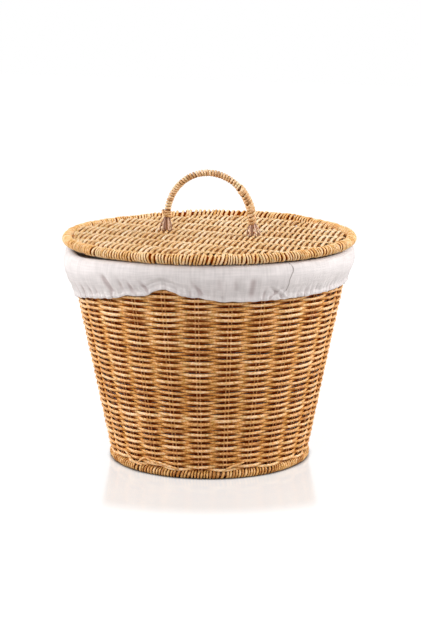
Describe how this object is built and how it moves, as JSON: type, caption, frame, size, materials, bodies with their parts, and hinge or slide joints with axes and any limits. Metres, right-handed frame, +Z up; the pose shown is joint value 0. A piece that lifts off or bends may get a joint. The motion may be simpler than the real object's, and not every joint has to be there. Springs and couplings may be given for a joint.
{
  "type": "lidded basket",
  "caption": "Round tapered rattan basket with a flat woven lift-off lid, a bound arch handle lashed to the lid and a cloth liner turned down over its rim.",
  "frame": {"origin": "on the floor, at the centre of the foot ring", "axes": "+Z up; the handle's arch stands over the X axis, with its thicker binding at +X"},
  "size_m": [0.362, 0.362, 0.3564],
  "materials": {
    "weave": "golden brown cane, satin, varied from strand to strand",
    "lid_weave": "pale golden cane, satin",
    "binding": "fine golden cane, slightly glossy",
    "stake_wire": "cane-coloured coated wire",
    "frame_wire": "dull dark wire",
    "linen": "off-white plain-woven linen, matt",
    "elastic": "white covered cord",
    "lashing": "thin reddish cane, dull"
  },
  "bodies": {
    "basket": {"foot_hoop": "frame_wire", "foot_binding": "binding", "rim_hoop": "frame_wire", "rim_binding": "binding", "wall_weave": "weave", "wall_stake_01": "stake_wire", "wall_stake_02": "stake_wire", "wall_stake_03": "stake_wire", "wall_stake_04": "stake_wire", "wall_stake_05": "stake_wire", "wall_stake_06": "stake_wire", "wall_stake_07": "stake_wire", "wall_stake_08": "stake_wire", "wall_stake_09": "stake_wire", "wall_stake_10": "stake_wire", "wall_stake_11": "stake_wire", "wall_stake_12": "stake_wire", "wall_stake_13": "stake_wire", "wall_stake_14": "stake_wire", "wall_stake_15": "stake_wire", "wall_stake_16": "stake_wire", "wall_stake_17": "stake_wire", "wall_stake_18": "stake_wire", "wall_stake_19": "stake_wire", "wall_stake_20": "stake_wire", "wall_stake_21": "stake_wire", "wall_stake_22": "stake_wire", "wall_stake_23": "stake_wire", "wall_stake_24": "stake_wire", "wall_stake_25": "stake_wire", "wall_stake_26": "stake_wire", "base_weave": "weave", "base_stake_1": "stake_wire", "base_stake_2": "stake_wire", "base_stake_3": "stake_wire", "base_stake_4": "stake_wire", "base_stake_5": "stake_wire", "liner_bag": "linen", "liner_cuff": "linen", "hem_elastic": "elastic"},
    "lid": {"lid_hoop": "frame_wire", "lid_binding": "binding", "lid_weave": "lid_weave", "lid_stake_1": "stake_wire", "lid_stake_2": "stake_wire", "lid_stake_3": "stake_wire", "lid_stake_4": "stake_wire", "lid_stake_5": "stake_wire", "lid_stake_6": "stake_wire", "lid_stake_7": "stake_wire", "handle_wire": "frame_wire", "handle_hitch": "binding", "handle_binding_left": "binding", "handle_binding_top": "binding", "handle_splice": "binding", "lashing_left": "lashing", "lashing_right": "lashing"}
  },
  "joints": [
    {"name": "lid_lift", "type": "slide", "parent": "basket", "child": "lid", "axis": [0, 0, 1], "range_m": [0, 0.2]}
  ]
}
